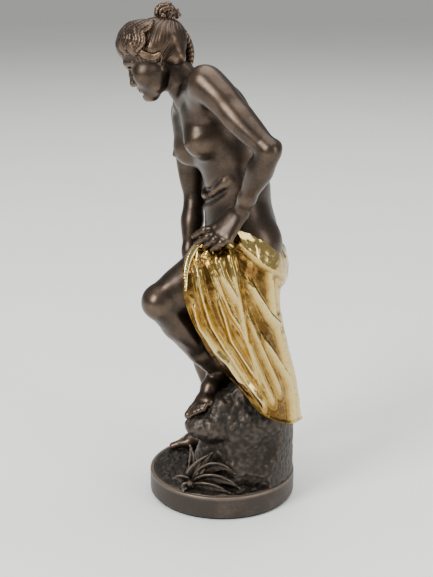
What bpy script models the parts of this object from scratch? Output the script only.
"""Bather statuette: a pinned bronze figure on a rock, with a gilt cloth, on a turned plinth.

Metres, +Z up, origin at the centre of the underside. The woman faces -X and leans forward.
Figure points are written in figure millimetres, with heights above the ground, and are scaled
by the height that the woman would have standing straight.
"""
import math

import bmesh
import bpy
from mathutils import Matrix, Vector, noise

# Driving dimensions (metres)
FIGURE_STATURE = 0.340          # height of the woman if she stood straight
PLINTH_RADIUS = 0.0455
PLINTH_HEIGHT = 0.0135
PLINTH_WALL = 0.0060            # side wall around the recess underneath
PLINTH_TOP_PLATE = 0.0050       # plate between the recess and the ground's seat
PLINTH_EDGE = 0.0009            # rounding of the plinth's edges
RIM_WIDTH = 0.0022              # flat ring left around the ground
GROUND_SEAT_DEPTH = 0.0016
GROUND_DOME = 0.0034            # rise of the turf at its middle
FELT_THICKNESS = 0.0012
FELT_INSET = 0.0015
PIN_RADIUS = 0.0015
STUD_RADIUS = 0.0015
WASHER_RADIUS = 0.0036
WASHER_THICKNESS = 0.0008
NUT_WIDTH = 0.0055              # across the corners is 2 / sqrt(3) of this
NUT_HEIGHT = 0.0022
CLEARANCE = 0.0003              # gap between pieces that touch
BORE_CLEARANCE = 0.00025        # radial play of a pin or stud in its bore
SKIN_VOXEL = 0.0019             # grain of the fused body skins
HEAD_VOXEL = 0.0015

FIGURE_MM = FIGURE_STATURE / 340.0
PLINTH_BOTTOM = FELT_THICKNESS + CLEARANCE
PLINTH_TOP = PLINTH_BOTTOM + PLINTH_HEIGHT
GROUND_RADIUS = PLINTH_RADIUS - RIM_WIDTH - CLEARANCE
GROUND_BOTTOM = PLINTH_TOP - GROUND_SEAT_DEPTH + CLEARANCE
RECESS_TOP = PLINTH_TOP - GROUND_SEAT_DEPTH - PLINTH_TOP_PLATE

# Materials: colour, roughness, metallic
FINISHES = {
    "patinated_bronze": ((0.075, 0.052, 0.038), 0.38, 0.9),
    "hair_bronze": ((0.085, 0.058, 0.042), 0.42, 0.9),
    "rock_bronze": ((0.055, 0.040, 0.032), 0.58, 0.7),
    "gold_leaf": ((0.72, 0.48, 0.17), 0.30, 1.0),
    "plinth_bronze": ((0.085, 0.052, 0.036), 0.40, 0.6),
    "steel": ((0.45, 0.45, 0.46), 0.35, 1.0),
    "felt": ((0.02, 0.035, 0.022), 0.95, 0.0),
}

# Directions that the fronts of the limbs and the backs of the hands face
LEFT_ARM_FRONT = Vector((-0.5, -0.8, -0.2))
LEFT_FOREARM_FRONT = Vector((-0.6, -0.8, 0.1))
LEFT_HAND_BACK = Vector((-0.35, -0.75, 0.55))
LEFT_THUMB_SIDE = 1
RIGHT_ARM_FRONT = Vector((-1, 0, 0))
RIGHT_FOREARM_FRONT = Vector((-1, 0.3, 0))
RIGHT_HAND_BACK = Vector((-0.9, 0.3, 0.1))
RIGHT_THUMB_SIDE = -1
LEFT_THIGH_FRONT = Vector((-0.3, 0, 1))
RIGHT_THIGH_FRONT = Vector((-1, 0, 0))
LEFT_SHANK_FRONT = Vector((-0.9, 0, 0.4))
RIGHT_SHANK_FRONT = Vector((-1, 0, 0.2))


def point(x, y, height):
    """World place of a figure point in figure millimetres above the ground."""
    return Vector((x, y, height)) * FIGURE_MM + Vector((0.0, 0.0, PLINTH_TOP))


# Joints of the figure
LEFT_SHOULDER = Vector((-9.5, -33, 243))
LEFT_ELBOW = Vector((24.5, -60, 211))
LEFT_WRIST = Vector((9.5, -39, 172.5))
LEFT_KNUCKLES = Vector((-1.5, -41, 160))
LEFT_FINGERTIPS = Vector((-14.0, -37, 152.5))
RIGHT_SHOULDER = Vector((-21, 31, 219))
RIGHT_ELBOW = Vector((-17, 25, 166))
RIGHT_WRIST = Vector((-20.5, 9, 128))
RIGHT_KNUCKLES = Vector((-21, 5, 112))
RIGHT_FINGERTIPS = Vector((-15.5, 4, 97))
LEFT_HIP = Vector((17.5, -17, 150))
LEFT_KNEE = Vector((-36.5, -40, 120.5))
LEFT_ANKLE = Vector((-3, -6, 65))
LEFT_HEEL = Vector((3.5, 0.0, 60.0))
LEFT_BALL = Vector((-10.5, -19.5, 51.5))
LEFT_TOE_END = Vector((-17.5, -28, 47.0))
RIGHT_HIP = Vector((17.5, 15, 146))
RIGHT_KNEE = Vector((-14, 25, 80))
RIGHT_ANKLE = Vector((4, 21, 14.0))
RIGHT_HEEL = Vector((7.5, 21, 9.0))
RIGHT_BALL = Vector((-21, 22, 6.8))
RIGHT_TOE_END = Vector((-31, 22, 5.2))
CHEST = Vector((-2.5, -2, 209))
PELVIS = Vector((12.5, -1, 151))
NECK_BASE = Vector((-17, -1, 234))
NECK_TOP = Vector((-29, -1, 248))
HEAD = Vector((-38.2, -1, 254.5))
HEAD_SIZE = 1.04
TOPKNOT = Vector((-32.0, 3.5, 278.7))

ARM_CUT = 0.62                  # where the arms are joined, as a share from shoulder to elbow
THIGH_CUT = 0.42

# Braid from the topknot down to the nape
BRAID_ROUTE = [Vector(place) for place in (
    (-26.5, 5, 272), (-23.0, 5.5, 268.5), (-20.2, 6, 264.5), (-18.6, 6, 260),
    (-18.2, 5.5, 255.5), (-19.0, 5, 251), (-20.6, 4, 247))]

# Lumps of the rock, and the hollow left by its core
ROCK_LUMPS = (
    ((24, -12, 8), (20, 22, 24)), ((30, -6, 26), (15, 19, 17)), ((14, -20, 34), (17, 15, 20)),
    ((3, -18, 44), (13, 12, 14)), ((-9, -22, 37), (14, 11, 9.5)), ((30, 14, 12), (14, 16, 18)),
    ((8, -22, 12), (14, 15, 18)), ((34, -20, 6), (13, 15, 16)), ((34, 8, 30), (9, 12, 14)),
    ((-6, -19, 12), (12, 11, 19)), ((36, -14, 14), (13, 16, 22)))
ROCK_HOLLOW = (((17, -12, 0), (7, 7, 20)),)

# Gilt cloth: each column runs from the inner side over the top ridge down to the hem
CLOTH_THICKNESS = 4.0
CLOTH_COLUMNS = (
    ((-15, -18, 129), (-20, -31, 150), (-23, -46, 141), (-22.5, -51, 124), (-14, -45, 102),
     (-7, -35, 84), (3, -23, 67)),
    ((-8, -14, 142), (-11, -29, 156), (-12, -46, 145), (-10, -51, 124), (-3, -48, 102),
     (4, -42, 82), (12, -35, 62)),
    ((-2, -13, 150), (-2, -27, 161), (-1, -43, 150), (2, -49, 127), (8, -48, 104),
     (15, -43, 78), (20, -39, 52)),
    ((6, -19, 157), (9, -31, 162), (13, -40, 150), (16, -45, 128), (20, -46, 104),
     (27, -43, 74), (31, -38, 46)),
    ((20, -24, 156), (24, -29, 155), (28, -33, 142), (28, -36, 122), (31, -37, 100),
     (39, -33, 70), (43, -28, 39)),
    ((30, -10, 150), (35, -12, 149), (38, -14, 137), (32.5, -14, 118), (36, -16, 98),
     (47, -14, 64), (49, -10, 35)),
    ((30, 6, 147), (35, 6, 147), (38, 7, 134), (32.5, 8, 116), (36, 8, 94),
     (44, 8, 62), (45, 10, 34)),
    ((22, 24, 144), (26, 29, 144), (28, 33, 131), (27, 31, 112), (30, 29, 90),
     (36, 27, 60), (37, 26, 34)))

# Leaves at the foot of the rock: root, middle and tip of each midrib
LEAF_THICKNESS = 1.3
LEAVES = (
    ("blade_leaf_1", ((-16, -29, 1), (-5, -36, 19), (7, -37.5, 7)), 2.2),
    ("blade_leaf_2", ((-17, -26, 1), (-10, -30, 27), (2, -34, 16)), 2.0),
    ("blade_leaf_3", ((-19, -24, 1), (-14, -24, 19), (-9, -24, 27)), 2.0),
    ("blade_leaf_4", ((-18, -31, 0), (-7, -40, 10), (1, -40.5, 2)), 2.0),
    ("broad_leaf_1", ((-21, -27, 1), (-26, -28, 12), (-30, -27, 6)), 3.0),
    ("broad_leaf_2", ((-21, -30, 1), (-22, -35, 8), (-23, -37, 3)), 2.6),
)

# Studs: name, place, height of the tip above the ground, and the casting that it holds
STUDS = (
    ("front_rock_stud", 6, -22, 18, "rock"),
    ("back_rock_stud", 28, 2, 18, "rock"),
    ("standing_foot_stud", 4.5, 21, 20, "right_leg"),
)


def axes(up, right):
    """Rotation whose columns are right, front and up of a body part."""
    up = Vector(up).normalized()
    right = Vector(right)
    right = (right - up * right.dot(up)).normalized()
    front = up.cross(right)
    return Matrix((right, front, up)).transposed()


def segment_axes(near, far, front):
    """Rotation of a limb segment, with up running from its far end to its near end."""
    up = (near - far).normalized()
    front = Vector(front)
    front = (front - up * front.dot(up)).normalized()
    return Matrix((front.cross(up), front, up)).transposed()


CHEST_AXES = axes((-0.45, 0.18, 0.87), (-0.19, 0.895, -0.40))
PELVIS_AXES = axes((-0.10, 0.03, 1.0), (-0.06, 1.0, -0.09))
HEAD_AXES = axes((-0.515, 0.06, 0.857), (0.02, 1.0, -0.05))


class Clay:
    """Overlapping balls and limbs that a voxel remesh fuses into one skin."""

    def __init__(self):
        self.mesh = bmesh.new()

    def ball(self, centre, radii, turn=None):
        if not hasattr(radii, "__len__"):
            radii = (radii, radii, radii)
        rotation = turn.to_4x4() if turn else Matrix.Identity(4)
        size = Matrix.Diagonal((*[r * FIGURE_MM for r in radii], 1.0))
        place = Matrix.Translation(point(*centre)) @ rotation @ size
        bmesh.ops.create_uvsphere(self.mesh, u_segments=24, v_segments=14, radius=1.0, matrix=place)

    def limb(self, start, end, start_radius, end_radius, flat=None):
        """Tapered limb with round ends; flat is a direction and a squash factor."""
        start, end = Vector(start), Vector(end)
        squash = Matrix.Scale(flat[1], 4, Vector(flat[0])) if flat else Matrix.Identity(4)
        middle = (start + end) / 2
        length = (end - start).length * FIGURE_MM
        turn = (end - start).to_track_quat("Z", "Y").to_matrix().to_4x4()
        place = Matrix.Translation(point(*middle)) @ squash @ turn
        bmesh.ops.create_cone(
            self.mesh, cap_ends=True, segments=24, depth=length,
            radius1=start_radius * FIGURE_MM, radius2=end_radius * FIGURE_MM, matrix=place)
        for centre, radius in ((start, start_radius), (end, end_radius)):
            place = Matrix.Translation(point(*centre)) @ squash
            bmesh.ops.create_uvsphere(
                self.mesh, u_segments=24, v_segments=14, radius=radius * FIGURE_MM, matrix=place)

    def chain(self, stations, flat=None):
        for (start, start_radius), (end, end_radius) in zip(stations, stations[1:]):
            self.limb(start, end, start_radius, end_radius, flat)


def muscle(clay, near, far, turn, span, offset, radii):
    """Long ball along a limb: span is its share of the limb, offset is to the right and front."""
    along = far - near
    middle = near + along * (span[0] + span[1]) / 2
    centre = middle + turn @ Vector((offset[0], offset[1], 0))
    half = along.length * (span[1] - span[0]) / 2
    clay.ball(centre, (radii[0], radii[1], half), turn)


def thigh(clay, hip, knee, front, outer):
    """Outer is +1 on her right leg and -1 on her left."""
    turn = segment_axes(hip, knee, front)
    clay.chain([(hip, 16.0), (hip.lerp(knee, 0.45), 14.6), (hip.lerp(knee, 0.8), 11.2), (knee, 9.6)])
    muscle(clay, hip, knee, turn, (-0.05, 0.98), (outer * 1.5, 3.5), (11.5, 11.5))
    muscle(clay, hip, knee, turn, (0.0, 0.95), (outer * 0.5, -4.0), (11.0, 11.0))
    muscle(clay, hip, knee, turn, (-0.05, 0.62), (-outer * 4.5, -1.0), (11.0, 12.5))
    muscle(clay, hip, knee, turn, (0.05, 0.9), (outer * 4.5, 0.5), (9.5, 11.0))
    clay.ball(knee + turn @ Vector((0, 6.0, 1.5)), (6.2, 5.0, 6.8), turn)


def shank(clay, knee, ankle, front, outer):
    turn = segment_axes(knee, ankle, front)
    clay.chain([(knee, 9.4), (knee.lerp(ankle, 0.3), 8.2), (knee.lerp(ankle, 0.7), 6.2), (ankle, 5.2)])
    muscle(clay, knee, ankle, turn, (0.02, 0.62), (outer * 2.6, -4.2), (6.4, 6.6))
    muscle(clay, knee, ankle, turn, (0.02, 0.68), (-outer * 2.8, -4.4), (6.4, 6.8))
    muscle(clay, knee, ankle, turn, (0.02, 1.0), (outer * 0.8, 1.6), (5.8, 5.8))
    clay.ball(ankle + turn @ Vector((outer * 4.4, -0.8, 0.0)), 2.6, turn)
    clay.ball(ankle + turn @ Vector((-outer * 4.2, 0.4, 1.2)), 2.8, turn)


def foot(clay, ankle, heel, ball_point, toe_end, outer):
    along = (toe_end - heel).normalized()
    up = (ankle - heel.lerp(ball_point, 0.25))
    turn = segment_axes(Vector((0, 0, 0)), -along, up)
    side = turn @ Vector((1, 0, 0))
    top = turn @ Vector((0, 1, 0))
    outward = side if side.dot(Vector((0, 1, 0))) * outer > 0 else -side
    clay.ball(heel, (5.8, 5.6, 6.6), turn)
    clay.chain([(ankle, 5.4), (heel + top * 1.5, 5.6)])
    clay.chain([(ankle + along * 1.0, 5.8), (ankle.lerp(ball_point, 0.55) + top * 0.8, 5.4),
                (ball_point + top * 0.6, 5.0)], (side, 1.25))
    clay.chain([(heel + outward * 1.2, 4.8), (ball_point + outward * 3.0, 4.0)], (top, 0.85))
    clay.chain([(ball_point - outward * 3.2, 4.6), (ball_point + outward * 4.4, 3.6)])
    reach = toe_end - ball_point
    for index in range(5):
        share = index / 4
        root = ball_point + outward * (-4.2 + 9.6 * share) + reach * (0.18 - 0.22 * share)
        tip = root + reach * (0.86 - 0.42 * share) - outward * 0.6 * share
        radius = 2.9 if index == 0 else 2.1 - 0.15 * index
        clay.limb(root, tip, radius + 0.4, radius)


def upper_arm(clay, shoulder, elbow, front, outer):
    turn = segment_axes(shoulder, elbow, front)
    clay.chain([(shoulder, 9.0), (shoulder.lerp(elbow, 0.5), 7.6), (elbow, 6.3)])
    muscle(clay, shoulder, elbow, turn, (-0.16, 0.5), (outer * 2.0, 0.0), (8.4, 9.6))
    muscle(clay, shoulder, elbow, turn, (0.15, 0.95), (0.0, 2.2), (6.4, 6.6))
    muscle(clay, shoulder, elbow, turn, (0.1, 0.9), (0.0, -2.2), (6.6, 6.6))


def forearm(clay, elbow, wrist, front, outer):
    turn = segment_axes(elbow, wrist, front)
    clay.chain([(elbow, 6.2), (elbow.lerp(wrist, 0.3), 6.5), (elbow.lerp(wrist, 0.75), 4.9), (wrist, 4.1)])
    muscle(clay, elbow, wrist, turn, (-0.08, 0.6), (outer * 1.8, 1.2), (5.6, 5.8))
    muscle(clay, elbow, wrist, turn, (0.0, 0.65), (-outer * 1.8, 0.0), (5.2, 5.4))
    clay.ball(elbow + turn @ Vector((0, -3.6, 1.0)), 3.6, turn)


def hand(clay, wrist, knuckles, tips, back, thumb_side):
    """Back is the direction that the back of the hand faces; thumb_side is +1 or -1."""
    along = (knuckles - wrist).normalized()
    turn = segment_axes(wrist, knuckles, back)
    across = turn @ Vector((thumb_side, 0, 0))
    normal = turn @ Vector((0, 1, 0))
    clay.limb(wrist, knuckles, 4.2, 5.2, (normal, 0.72))
    for share in (-1.0, -0.33, 0.33, 1.0):
        root = knuckles + across * 5.4 * share - along * (1.0 - abs(share - 0.3))
        clay.limb(wrist + across * 2.2 * share, root, 3.0, 2.7)
        reach = (tips - knuckles) * (0.96 - 0.12 * abs(share - 0.33))
        bend = root + reach * 0.5 + normal * 1.6 + across * 1.2 * share
        clay.chain([(root, 2.5), (bend, 2.2), (root + reach + across * 1.0 * share, 1.7)])
    thumb_root = wrist.lerp(knuckles, 0.35) + across * 4.6 - normal * 1.0
    thumb_bend = wrist.lerp(knuckles, 0.85) + across * 8.6 - normal * 2.2
    clay.chain([(thumb_root, 3.6), (thumb_bend, 2.5), (thumb_bend + along * 8.0, 2.0)])


def in_part(centre, turn, right, front, up):
    return centre + turn @ Vector((right, front, up))


def neck(clay):
    clay.chain([(NECK_BASE, 11.0), (NECK_BASE.lerp(NECK_TOP, 0.5), 9.4), (NECK_TOP, 9.4)])


def torso_clay():
    clay = Clay()

    def chest(right, front, up):
        return in_part(CHEST, CHEST_AXES, right, front, up)

    def pelvis(right, front, up):
        return in_part(PELVIS, PELVIS_AXES, right, front, up)

    clay.ball(chest(0, 0, 2), (25.5, 18.5, 31), CHEST_AXES)
    clay.ball(chest(0, -2, 16), (27, 14.5, 17), CHEST_AXES)
    for side, shoulder in ((-1, LEFT_SHOULDER), (1, RIGHT_SHOULDER)):
        clay.ball(chest(side * 12, -8.5, 2), (13, 10, 26), CHEST_AXES)
        clay.limb(chest(side * 8, 2, 22), shoulder, 10.5, 9.0)
        clay.limb(NECK_BASE.lerp(NECK_TOP, 0.25), shoulder.lerp(NECK_BASE, 0.15), 7.5, 6.5)
        clay.limb(chest(side * 11, 9, 10), shoulder, 9.0, 7.5)
        clay.ball(chest(side * 14.5, 16.5, 0), (11.0, 10.0, 11.0), CHEST_AXES)
        clay.ball(chest(side * 15.3, 20.5, -0.8), (7.2, 6.6, 7.2), CHEST_AXES)
        clay.ball(pelvis(side * 13.5, -8, -4), (15.5, 13.0, 16.5), PELVIS_AXES)
        clay.ball(pelvis(side * 16, 1, 4), (14.5, 16.5, 18), PELVIS_AXES)
    waist_top = chest(0, -2, -16)
    waist = waist_top.lerp(pelvis(0, 0, 18), 0.55)
    clay.limb(waist_top, waist, 18.4, 17.6, (CHEST_AXES @ Vector((1, 0, 0)), 1.2))
    clay.limb(waist, pelvis(0, -0.5, 6), 17.6, 19.5, (PELVIS_AXES @ Vector((1, 0, 0)), 1.32))
    clay.ball(pelvis(0, 9, 14), (17, 12.5, 19), PELVIS_AXES)
    clay.ball(pelvis(0, 2, 0), (27, 20, 18), PELVIS_AXES)
    neck(clay)
    upper_arm(clay, LEFT_SHOULDER, LEFT_ELBOW, LEFT_ARM_FRONT, -1)
    upper_arm(clay, RIGHT_SHOULDER, RIGHT_ELBOW, RIGHT_ARM_FRONT, 1)
    thigh(clay, LEFT_HIP, LEFT_KNEE, LEFT_THIGH_FRONT, -1)
    thigh(clay, RIGHT_HIP, RIGHT_KNEE, RIGHT_THIGH_FRONT, 1)
    return clay


def leg_clay(hip, knee, ankle, heel, ball_point, toe_end, thigh_front, shank_front, outer):
    clay = Clay()
    thigh(clay, hip, knee, thigh_front, outer)
    shank(clay, knee, ankle, shank_front, outer)
    foot(clay, ankle, heel, ball_point, toe_end, outer)
    return clay


def head_clay():
    clay = Clay()
    big = HEAD_SIZE

    def head(right, front, up):
        return in_part(HEAD, HEAD_AXES, right * big, front * big, up * big)

    def lump(right, front, up, *radii):
        clay.ball(head(right, front, up), [radius * big for radius in radii], HEAD_AXES)

    neck(clay)
    lump(0, -3, 4, 15.2, 17.6, 15.0)
    lump(0, 7, -4, 12.6, 10.5, 15.5)
    clay.limb(head(0, 8.5, -13), head(0, 13.5, -17), 7.4, 4.6)
    lump(0, 17.2, -6.5, 2.1, 3.2, 5.0)
    lump(0, -2, 7, 16.4, 18.4, 12.5)
    lump(0, 10.5, 9.5, 9.0, 6.5, 6.0)
    for side in (-1, 1):
        lump(side * 9.5, 8.5, 8.5, 8.0, 7.0, 7.0)
        lump(side * 12.8, 3.0, 1.5, 4.4, 7.5, 7.0)
        clay.limb(head(side * 13.4, -3, 0), head(side * 9, -14, 3), 4.6, 6.5)
    return clay


def left_arm_clay():
    clay = Clay()
    upper_arm(clay, LEFT_SHOULDER, LEFT_ELBOW, LEFT_ARM_FRONT, -1)
    forearm(clay, LEFT_ELBOW, LEFT_WRIST, LEFT_FOREARM_FRONT, -1)
    hand(clay, LEFT_WRIST, LEFT_KNUCKLES, LEFT_FINGERTIPS, LEFT_HAND_BACK, LEFT_THUMB_SIDE)
    return clay


def right_arm_clay():
    clay = Clay()
    upper_arm(clay, RIGHT_SHOULDER, RIGHT_ELBOW, RIGHT_ARM_FRONT, 1)
    forearm(clay, RIGHT_ELBOW, RIGHT_WRIST, RIGHT_FOREARM_FRONT, 1)
    hand(clay, RIGHT_WRIST, RIGHT_KNUCKLES, RIGHT_FINGERTIPS, RIGHT_HAND_BACK, RIGHT_THUMB_SIDE)
    return clay


def new_collection(name):
    collection = bpy.data.collections.new(name)
    bpy.context.scene.collection.children.link(collection)
    return collection


def make_materials():
    materials = {}
    for name, (colour, roughness, metallic) in FINISHES.items():
        material = bpy.data.materials.new(name)
        material.use_nodes = True
        shader = material.node_tree.nodes["Principled BSDF"]
        shader.inputs["Base Color"].default_value = (*colour, 1.0)
        shader.inputs["Roughness"].default_value = roughness
        shader.inputs["Metallic"].default_value = metallic
        material.diffuse_color = (*colour, 1.0)
        materials[name] = material
    return materials


def add_object(name, mesh, collection, material=None):
    thing = bpy.data.objects.new(name, mesh)
    collection.objects.link(thing)
    if material:
        mesh.materials.append(material)
    return thing


def object_from_bmesh(name, shape, collection, material=None):
    mesh = bpy.data.meshes.new(name)
    shape.to_mesh(mesh)
    shape.free()
    mesh.shade_smooth()
    return add_object(name, mesh, collection, material)


def settle(thing):
    """Replace an object's mesh by what its modifiers make of it."""
    bpy.context.view_layer.update()
    graph = bpy.context.evaluated_depsgraph_get()
    mesh = bpy.data.meshes.new_from_object(thing.evaluated_get(graph))
    thing.modifiers.clear()
    thing.data = mesh
    return thing


def skin(name, clay, voxel, smoothing, triangles, collection, material=None):
    """Fuse a clay into one closed surface, smooth it and thin it to about so many triangles."""
    thing = object_from_bmesh(name, clay.mesh, collection, material)
    remesh = thing.modifiers.new("fuse", "REMESH")
    remesh.mode = "VOXEL"
    remesh.voxel_size = voxel
    relax = thing.modifiers.new("relax", "SMOOTH")
    relax.factor = 0.5
    relax.iterations = smoothing
    settle(thing)
    thin = thing.modifiers.new("thin", "DECIMATE")
    thin.ratio = min(1.0, triangles / (2.0 * len(thing.data.polygons)))
    thin.use_collapse_triangulate = True
    settle(thing)
    thing.data.shade_smooth()
    return thing


def tidy_mesh(thing):
    """Merge slivers, keep the largest body and make it all triangles."""
    shape = bmesh.new()
    shape.from_mesh(thing.data)
    bmesh.ops.remove_doubles(shape, verts=shape.verts, dist=4e-6)
    bmesh.ops.dissolve_degenerate(shape, edges=shape.edges, dist=4e-6)
    bmesh.ops.triangulate(shape, faces=shape.faces)
    shape.verts.ensure_lookup_table()
    unseen = set(shape.verts)
    islands = []
    while unseen:
        stack = [unseen.pop()]
        island = list(stack)
        while stack:
            for edge in stack.pop().link_edges:
                for vertex in edge.verts:
                    if vertex in unseen:
                        unseen.remove(vertex)
                        stack.append(vertex)
                        island.append(vertex)
        islands.append(island)
    islands.sort(key=len)
    for island in islands[:-1]:
        bmesh.ops.delete(shape, geom=island, context="VERTS")
    shape.to_mesh(thing.data)
    shape.free()


class Workshop:
    """The two collections, the finishes, and the cuts between the pieces."""

    def __init__(self):
        self.pieces = new_collection("bather_statuette")
        self.cutters = new_collection("cutters")
        self.cutters.hide_render = True
        self.finish = make_materials()

    def cutter(self, thing):
        thing.hide_render = True
        thing.display_type = "WIRE"
        return thing

    def cut(self, target, cutter, operation="DIFFERENCE"):
        modifier = target.modifiers.new("cut", "BOOLEAN")
        modifier.operation = operation
        modifier.solver = "EXACT"
        modifier.object = cutter
        settle(target)
        tidy_mesh(target)

    def cylinder(self, name, start, end, radius, segments=24, material=None):
        """Cylinder between two world points; without a material it is a cutter."""
        shape = bmesh.new()
        turn = (end - start).to_track_quat("Z", "Y").to_matrix().to_4x4()
        bmesh.ops.create_cone(
            shape, cap_ends=True, segments=segments, radius1=radius, radius2=radius,
            depth=(end - start).length, matrix=Matrix.Translation((start + end) / 2) @ turn)
        home = self.pieces if material else self.cutters
        thing = object_from_bmesh(name, shape, home, material)
        thing.data.set_sharp_from_angle(angle=math.radians(40))
        return thing if material else self.cutter(thing)

    def part_at(self, near_piece, far_piece, centre, direction, reach, length):
        """Saw two skins apart at a plane across a limb, with a gap between the two faces."""
        direction = Vector(direction).normalized()
        seat = point(*centre)
        gap = direction * CLEARANCE / 2
        far_side = self.cylinder("saw_far", seat - gap, seat + direction * length * FIGURE_MM,
                                 reach * FIGURE_MM)
        near_side = self.cylinder("saw_near", seat - direction * length * FIGURE_MM, seat + gap,
                                  reach * FIGURE_MM)
        self.cut(near_piece, far_side)
        self.cut(far_piece, near_side)

    def fit(self, piece, neighbour, gap=CLEARANCE):
        """Give a piece the hollow that its neighbour lies in, with a gap all round."""
        copy = self.cutter(add_object(neighbour.name + "_seat", neighbour.data.copy(), self.cutters))
        swell = copy.modifiers.new("swell", "DISPLACE")
        swell.mid_level = 0.0
        swell.strength = gap * 1.35
        settle(copy)
        self.cut(piece, copy)

    def dowel(self, name, centre, direction, length, radius, *pieces):
        """Pin across a joint, and its bores in the pieces that it holds together."""
        direction = Vector(direction).normalized()
        middle = point(*centre)
        half = direction * length * FIGURE_MM / 2
        room = direction * CLEARANCE
        bore = self.cylinder(name + "_bore", middle - half - room, middle + half + room,
                             radius + BORE_CLEARANCE, 16)
        for piece in pieces:
            self.cut(piece, bore)
        self.cylinder(name, middle - half, middle + half, radius, 16, self.finish["steel"])


def noise_push(mesh, size, depth, seed, allow=None):
    """Move vertices along their normals by a fixed three-dimensional noise."""
    shift = Vector((seed * 7.3, seed * 3.1, seed * 5.7))
    moves = []
    for vertex in mesh.vertices:
        amount = noise.noise(vertex.co / size + shift) * depth
        moves.append(vertex.normal * amount * (allow(vertex.co) if allow else 1.0))
    for vertex, move in zip(mesh.vertices, moves):
        vertex.co += move


def make_figure(shop):
    bronze = shop.finish["patinated_bronze"]
    home = shop.pieces
    torso = skin("torso", torso_clay(), SKIN_VOXEL, 4, 1500, home, bronze)
    head = skin("head", head_clay(), HEAD_VOXEL, 3, 900, home, bronze)
    left_arm = skin("left_arm", left_arm_clay(), HEAD_VOXEL, 2, 700, home, bronze)
    right_arm = skin("right_arm", right_arm_clay(), HEAD_VOXEL, 2, 600, home, bronze)
    left_leg = skin(
        "left_leg", leg_clay(LEFT_HIP, LEFT_KNEE, LEFT_ANKLE, LEFT_HEEL, LEFT_BALL, LEFT_TOE_END,
                             LEFT_THIGH_FRONT, LEFT_SHANK_FRONT, -1), SKIN_VOXEL, 3, 750, home, bronze)
    right_leg = skin(
        "right_leg", leg_clay(RIGHT_HIP, RIGHT_KNEE, RIGHT_ANKLE, RIGHT_HEEL, RIGHT_BALL,
                              RIGHT_TOE_END, RIGHT_THIGH_FRONT, RIGHT_SHANK_FRONT, 1),
        SKIN_VOXEL, 3, 750, home, bronze)
    neck_cut = NECK_BASE.lerp(NECK_TOP, 0.5)
    shop.part_at(torso, head, neck_cut, NECK_TOP - NECK_BASE, 13.5, 22)
    shop.dowel("neck_pin", neck_cut, NECK_TOP - NECK_BASE, 13, PIN_RADIUS, torso, head)
    for name, arm, near, far in (("left_arm_pin", left_arm, LEFT_SHOULDER, LEFT_ELBOW),
                                 ("right_arm_pin", right_arm, RIGHT_SHOULDER, RIGHT_ELBOW)):
        centre = near.lerp(far, ARM_CUT)
        shop.part_at(torso, arm, centre, far - near, 13, 50)
        shop.dowel(name, centre, far - near, 13, PIN_RADIUS, torso, arm)
    for name, leg, near, far in (("left_thigh_pin", left_leg, LEFT_HIP, LEFT_KNEE),
                                 ("right_thigh_pin", right_leg, RIGHT_HIP, RIGHT_KNEE)):
        centre = near.lerp(far, THIGH_CUT)
        shop.part_at(torso, leg, centre, far - near, 23, 60)
        shop.dowel(name, centre, far - near, 18, PIN_RADIUS * 1.3, torso, leg)
    shop.fit(torso, left_arm)
    shop.fit(right_leg, right_arm)
    return {"torso": torso, "head": head, "left_arm": left_arm, "right_arm": right_arm,
            "left_leg": left_leg, "right_leg": right_leg}


def make_hair(shop, figure):
    hair = shop.finish["hair_bronze"]
    knot = Clay()
    knot.ball(TOPKNOT, (6.2, 6.6, 6.0), HEAD_AXES)
    for index in range(7):
        angle = index * math.tau / 7
        around = Vector((math.cos(angle) * 4.6, math.sin(angle) * 4.8, -1.5))
        knot.ball(TOPKNOT + HEAD_AXES @ around, 3.1)
    knot.limb(TOPKNOT, TOPKNOT - HEAD_AXES @ Vector((0, 2, 9)), 4.6, 5.4)
    topknot = skin("topknot", knot, 0.0009, 2, 450, shop.pieces, hair)
    shop.fit(topknot, figure["head"])
    plait = Clay()
    for start, end in zip(BRAID_ROUTE, BRAID_ROUTE[1:]):
        plait.limb(start, end, 3.2, 3.2)
    for index, centre in enumerate(BRAID_ROUTE):
        sway = 1.3 if index % 2 else -1.3
        plait.ball(centre + Vector((0, sway, 0)), 3.3)
    braid = skin("braid", plait, 0.0009, 2, 450, shop.pieces, hair)
    shop.fit(braid, figure["head"])
    shop.fit(braid, figure["torso"])
    shop.fit(braid, topknot)
    seat = TOPKNOT - HEAD_AXES @ Vector((0, 1.0, 5.5))
    shop.dowel("topknot_pin", seat, HEAD_AXES @ Vector((0, 0.15, 1)), 9, PIN_RADIUS * 0.7,
               topknot, figure["head"])


def make_rock(shop, figure):
    stone = Clay()
    for centre, radii in ROCK_LUMPS:
        stone.ball(Vector(centre), radii)
    rock = skin("rock", stone, 0.0024, 2, 1100, shop.pieces, shop.finish["rock_bronze"])
    noise_push(rock.data, 0.016, 0.0034, 1)
    noise_push(rock.data, 0.006, 0.0012, 2)
    base = Vector((0.0, 0.0, PLINTH_TOP + CLEARANCE))
    limit = shop.cylinder("rock_limit", base, base + Vector((0, 0, 0.2)), PLINTH_RADIUS - CLEARANCE, 60)
    shop.cut(rock, limit, "INTERSECT")
    shop.fit(rock, figure["left_leg"])
    shop.fit(rock, figure["right_leg"])
    hollow = Clay()
    for centre, radii in ROCK_HOLLOW:
        hollow.ball(Vector(centre), radii)
    core = shop.cutter(object_from_bmesh("rock_core", hollow.mesh, shop.cutters))
    shop.cut(rock, core)
    return rock


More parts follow.
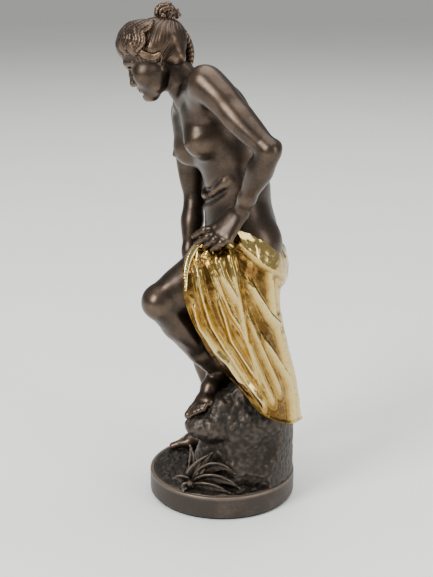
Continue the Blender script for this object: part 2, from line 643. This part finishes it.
def make_plinth(shop):
    wall = PLINTH_RADIUS - PLINTH_WALL
    edge = PLINTH_EDGE
    seat = PLINTH_RADIUS - RIM_WIDTH
    outline = [
        (0.0, RECESS_TOP), (wall, RECESS_TOP), (wall, PLINTH_BOTTOM),
        (PLINTH_RADIUS - edge, PLINTH_BOTTOM), (PLINTH_RADIUS, PLINTH_BOTTOM + edge),
        (PLINTH_RADIUS, PLINTH_TOP - edge), (PLINTH_RADIUS - edge, PLINTH_TOP),
        (seat, PLINTH_TOP), (seat, PLINTH_TOP - GROUND_SEAT_DEPTH), (0.0, PLINTH_TOP - GROUND_SEAT_DEPTH)]
    return turned(shop, "plinth", outline[::-1], shop.finish["plinth_bronze"])


def turned(shop, name, outline, material, steps=60):
    """Solid of revolution from an outline of (radius, height) points, top to bottom."""
    shape = bmesh.new()
    ring = [shape.verts.new((radius, 0.0, height)) for radius, height in outline]
    for start, end in zip(ring, ring[1:]):
        shape.edges.new((start, end))
    thing = object_from_bmesh(name, shape, shop.pieces, material)
    spin = thing.modifiers.new("spin", "SCREW")
    spin.steps = steps
    spin.render_steps = steps
    spin.use_merge_vertices = True
    spin.merge_threshold = 0.00001
    settle(thing)
    thing.data.shade_smooth()
    thing.data.set_sharp_from_angle(angle=math.radians(40))
    tidy_mesh(thing)
    return thing


def make_ground(shop, rock, figure):
    rings = 7
    outline = [(0.0, PLINTH_TOP + GROUND_DOME)]
    for index in range(1, rings + 1):
        share = index / rings
        height = PLINTH_TOP + GROUND_DOME * math.cos(share * math.pi / 2) ** 0.8
        outline.append((GROUND_RADIUS * share, height))
    outline += [(GROUND_RADIUS, GROUND_BOTTOM), (0.0, GROUND_BOTTOM)]
    ground = turned(shop, "ground", outline, shop.finish["rock_bronze"], 36)

    def on_top(place):
        if place.z < PLINTH_TOP - CLEARANCE:
            return 0.0
        return min(1.0, max(0.0, (GROUND_RADIUS - place.xy.length) / 0.006))

    noise_push(ground.data, 0.011, 0.0018, 3, on_top)
    shop.fit(ground, rock)
    shop.fit(ground, figure["right_leg"])
    return ground


def make_felt(shop):
    top = Vector((0.0, 0.0, FELT_THICKNESS))
    shop.cylinder("felt_pad", Vector((0, 0, 0)), top, PLINTH_RADIUS - FELT_INSET, 72, shop.finish["felt"])


def make_fasteners(shop, plinth, ground, rock, figure):
    """Threaded studs from under the plinth into the rock and the standing foot."""
    steel = shop.finish["steel"]
    washer_top = RECESS_TOP - CLEARANCE
    nut_top = washer_top - WASHER_THICKNESS - CLEARANCE
    stud_foot = nut_top - NUT_HEIGHT - 0.0008
    for name, x, y, tip, holder in STUDS:
        centre = point(x, y, 0).xy
        holder_piece = rock if holder == "rock" else figure[holder]
        top = point(0, 0, tip).z

        def level(height):
            return Vector((centre.x, centre.y, height))

        bore = shop.cylinder(name + "_bore", level(0.0), level(top + CLEARANCE),
                             STUD_RADIUS + BORE_CLEARANCE, 20)
        for piece in (plinth, ground, holder_piece):
            shop.cut(piece, bore)
        shop.cylinder(name, level(stud_foot), level(top), STUD_RADIUS, 20, steel)
        washer = shop.cylinder(name.replace("stud", "washer"), level(washer_top - WASHER_THICKNESS),
                               level(washer_top), WASHER_RADIUS, 24, steel)
        shop.cut(washer, bore)
        nut = shop.cylinder(name.replace("stud", "nut"), level(nut_top - NUT_HEIGHT), level(nut_top),
                            NUT_WIDTH / math.sqrt(3), 6, steel)
        shop.cut(nut, bore)


def cloth_cage(shop):
    """Coarse cage of the gilt cloth: columns run around her, rows run down."""
    rows = len(CLOTH_COLUMNS[0])
    columns = len(CLOTH_COLUMNS)
    shape = bmesh.new()
    made = bmesh.ops.create_grid(shape, x_segments=columns - 1, y_segments=rows - 1, size=1.0)
    for vertex in made["verts"]:
        column = round((vertex.co.x + 1) / 2 * (columns - 1))
        row = round((1 - vertex.co.y) / 2 * (rows - 1))
        vertex.co = point(*CLOTH_COLUMNS[column][row])
    return object_from_bmesh("drapery", shape, shop.pieces, shop.finish["gold_leaf"])


def make_drapery(shop, figure, rock):
    drapery = cloth_cage(shop)
    soft = drapery.modifiers.new("soften", "SUBSURF")
    soft.levels = 3
    soft.render_levels = 3
    settle(drapery)
    thick = drapery.modifiers.new("thickness", "SOLIDIFY")
    thick.thickness = CLOTH_THICKNESS * FIGURE_MM
    thick.offset = -1.0
    remesh = drapery.modifiers.new("fuse", "REMESH")
    remesh.voxel_size = 0.0013
    relax = drapery.modifiers.new("relax", "SMOOTH")
    relax.iterations = 2
    settle(drapery)
    thin = drapery.modifiers.new("thin", "DECIMATE")
    thin.ratio = min(1.0, 1700 / (2.0 * len(drapery.data.polygons)))
    settle(drapery)
    for name in ("torso", "left_leg", "right_leg", "left_arm"):
        shop.fit(drapery, figure[name])
    shop.fit(drapery, rock)
    drapery.data.shade_smooth()
    return drapery


def make_leaf(shop, name, route, width, ground, rock):
    """Blade of a leaf along a bent midrib, widest before its middle."""
    stations = 8
    base, middle, tip = [Vector(place) for place in route]
    shape = bmesh.new()
    made = bmesh.ops.create_grid(shape, x_segments=stations, y_segments=2, size=1.0)
    for vertex in made["verts"]:
        share = (vertex.co.x + 1) / 2
        across = vertex.co.y
        spine = base * (1 - share) ** 2 + middle * 2 * share * (1 - share) + tip * share ** 2
        ahead = (middle - base) * (1 - share) + (tip - middle) * share
        side = ahead.cross(Vector((0, 0, 1))).normalized()
        half = width * (0.25 + 0.75 * math.sin(math.pi * min(1.0, share * 1.05) ** 0.8))
        half *= 1 - share ** 6
        vertex.co = point(*(spine + side * across * (half + 0.25) + Vector((0, 0, -0.5 * abs(across)))))
    leaf = object_from_bmesh(name, shape, shop.pieces, shop.finish["rock_bronze"])
    thick = leaf.modifiers.new("thickness", "SOLIDIFY")
    thick.thickness = LEAF_THICKNESS * FIGURE_MM
    thick.offset = 0.0
    settle(leaf)
    tidy_mesh(leaf)
    shop.fit(leaf, ground)
    shop.fit(leaf, rock)
    return leaf


def build():
    for thing in list(bpy.data.objects):
        bpy.data.objects.remove(thing, do_unlink=True)
    shop = Workshop()
    figure = make_figure(shop)
    make_hair(shop, figure)
    rock = make_rock(shop, figure)
    drapery = make_drapery(shop, figure, rock)
    plinth = make_plinth(shop)
    ground = make_ground(shop, rock, figure)
    make_felt(shop)
    make_fasteners(shop, plinth, ground, rock, figure)
    for name, route, width in LEAVES:
        make_leaf(shop, name, route, width, ground, rock)


build()
